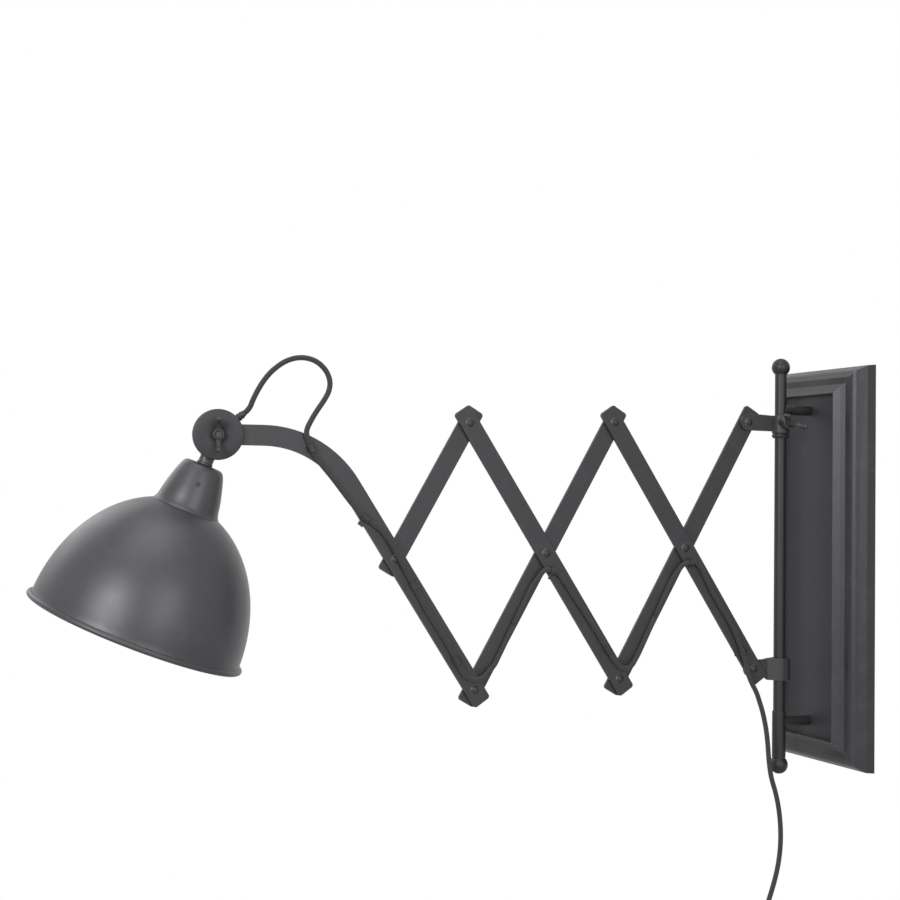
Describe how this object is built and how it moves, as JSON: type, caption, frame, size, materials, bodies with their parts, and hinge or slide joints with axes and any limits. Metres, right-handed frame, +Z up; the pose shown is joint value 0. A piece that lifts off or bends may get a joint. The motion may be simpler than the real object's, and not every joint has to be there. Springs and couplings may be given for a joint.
{
  "type": "accordion wall lamp",
  "caption": "Wall lamp on a scissor arm of flat crossed links, with a domed metal shade on a friction elbow and a tall moulded wall plate.",
  "frame": {"origin": "centre of the wall plate's back face, on the wall", "axes": "+Z up, the wall is the plane X = 0, the arm reaches out along -X, -Y is the wing screw's side"},
  "size_m": [0.825, 0.2149, 0.6977],
  "materials": {
    "frame_paint": "painted, satin matt",
    "panel_paint": "matt",
    "bare_steel": "zinc plated",
    "rod_paint": "satin",
    "link_paint": "fine matt",
    "rivet_paint": "satin",
    "washer_steel": "dulled",
    "wing_paint": "satin",
    "shade_paint": "fine matt",
    "friction_pad": "fibre",
    "gland_plastic": "smooth",
    "holder_plastic": "moulded",
    "contact_brass": "bright",
    "cord_black": "braided",
    "tie_black": "moulded",
    "plug_plastic": "moulded"
  },
  "bodies": {
    "wall_mount": {"back_panel": "panel_paint", "frame_rails": "frame_paint", "frame_stiles": "frame_paint", "hanger_plates": "bare_steel", "guide_rod": "rod_paint", "rod_balls": "rod_paint", "posts": "rod_paint", "post_screws": "bare_steel", "stop_tube": "rod_paint", "set_collar": "rod_paint"},
    "upper_bracket": {"upper_bracket": "link_paint", "rivets_bracket": "rivet_paint", "washers_bracket": "washer_steel"},
    "wing_screw": {"wing_screw": "wing_paint"},
    "link_a": {"link_a": "link_paint", "cord_on_link_a": "cord_black"},
    "link_b": {"link_b": "link_paint", "rivets_link_b": "rivet_paint", "washers_link_b": "washer_steel", "clips_link_b": "rivet_paint", "cord_on_link_b": "cord_black", "cord_turn_m3": "cord_black"},
    "lower_bracket": {"rod_strap": "link_paint", "strap_rivets": "rivet_paint", "cord_lead_top": "cord_black", "cord_lead": "cord_black", "cord_coil": "cord_black", "coil_tie": "tie_black", "plug": "plug_plastic"},
    "link_d": {"link_d": "link_paint", "rivets_link_d": "rivet_paint", "washers_link_d": "washer_steel", "clips_link_d": "rivet_paint", "cord_on_link_d": "cord_black", "cord_turn_m2": "cord_black", "cord_turn_b2": "cord_black"},
    "link_c": {"link_c": "link_paint", "cord_on_link_c": "cord_black"},
    "short_link": {"short_link": "link_paint"},
    "swan_neck": {"swan_neck": "link_paint", "rivets_neck": "rivet_paint", "washers_neck": "washer_steel", "clips_neck": "rivet_paint", "cord_on_neck": "cord_black", "cord_turn_b1": "cord_black", "cord_head_loop": "cord_black"},
    "head": {"elbow_cover": "shade_paint", "friction_washers": "friction_pad", "elbow_housing": "shade_paint", "housing_cap": "shade_paint", "elbow_bolt": "bare_steel", "cord_gland": "gland_plastic", "stem": "shade_paint", "neck_cup": "shade_paint", "set_screw": "bare_steel", "lampholder": "holder_plastic", "holder_contact": "contact_brass", "shade_ring": "holder_plastic", "shade": "shade_paint"},
    "wing_nut": {"wing_nut": "wing_paint"}
  },
  "joints": [
    {"name": "arm_swing", "type": "hinge", "parent": "wall_mount", "child": "upper_bracket", "pos_m": [-0.0625, 0, 0.1472], "axis": [0, 0, 1], "range_deg": [-80, 80]},
    {"name": "wing_screw_turn", "type": "hinge", "parent": "upper_bracket", "child": "wing_screw", "pos_m": [-0.0625, -0.0165, 0.1492], "axis": [0, 1, 0], "range_deg": [-180, 180]},
    {"name": "arm_fold", "type": "hinge", "parent": "upper_bracket", "child": "link_a", "pos_m": [-0.104, 0, 0.14876], "axis": [0, 1, 0], "range_deg": [-15, 23]},
    {"name": "pivot_m3", "type": "hinge", "parent": "link_a", "child": "link_b", "pos_m": [-0.17869, 0, 0.01868], "axis": [0, 1, 0], "range_deg": [-46, 30], "deforming": ["cord_turn_m3"]},
    {"name": "pivot_lower_bracket", "type": "hinge", "parent": "link_b", "child": "lower_bracket", "pos_m": [-0.096, 0, -0.10647], "axis": [0, 1, 0], "range_deg": [-15, 23], "deforming": ["cord_lead_top"]},
    {"name": "pivot_b2", "type": "hinge", "parent": "link_a", "child": "link_d", "pos_m": [-0.25339, 0, -0.1114], "axis": [0, 1, 0], "range_deg": [-46, 30], "deforming": ["cord_turn_b2"]},
    {"name": "pivot_m2", "type": "hinge", "parent": "link_d", "child": "link_c", "pos_m": [-0.33608, 0, 0.01375], "axis": [0, 1, 0], "range_deg": [-30, 46], "deforming": ["cord_turn_m2"]},
    {"name": "pivot_t1", "type": "hinge", "parent": "link_d", "child": "short_link", "pos_m": [-0.41877, 0, 0.13889], "axis": [0, 1, 0], "range_deg": [-30, 46]},
    {"name": "pivot_b1", "type": "hinge", "parent": "link_c", "child": "swan_neck", "pos_m": [-0.41077, 0, -0.11633], "axis": [0, 1, 0], "range_deg": [-46, 30], "deforming": ["cord_turn_b1"]},
    {"name": "elbow_tilt", "type": "hinge", "parent": "swan_neck", "child": "head", "pos_m": [-0.6638, 0.00331, 0.1217], "axis": [0.1905, 0.9802, 0.0541], "range_deg": [-38, 90], "deforming": ["cord_head_loop"]},
    {"name": "wing_nut_turn", "type": "hinge", "parent": "head", "child": "wing_nut", "pos_m": [-0.6638, 0.00331, 0.1217], "axis": [0.1905, 0.9802, 0.0541], "range_deg": [-180, 180]}
  ],
  "couplings": [
    {"joint": "pivot_m3", "follows": "arm_fold", "ratio": -2},
    {"joint": "pivot_b2", "follows": "arm_fold", "ratio": -2},
    {"joint": "pivot_lower_bracket", "follows": "arm_fold", "ratio": 1},
    {"joint": "pivot_m2", "follows": "arm_fold", "ratio": 2},
    {"joint": "pivot_t1", "follows": "arm_fold", "ratio": 2},
    {"joint": "pivot_b1", "follows": "arm_fold", "ratio": -2}
  ]
}
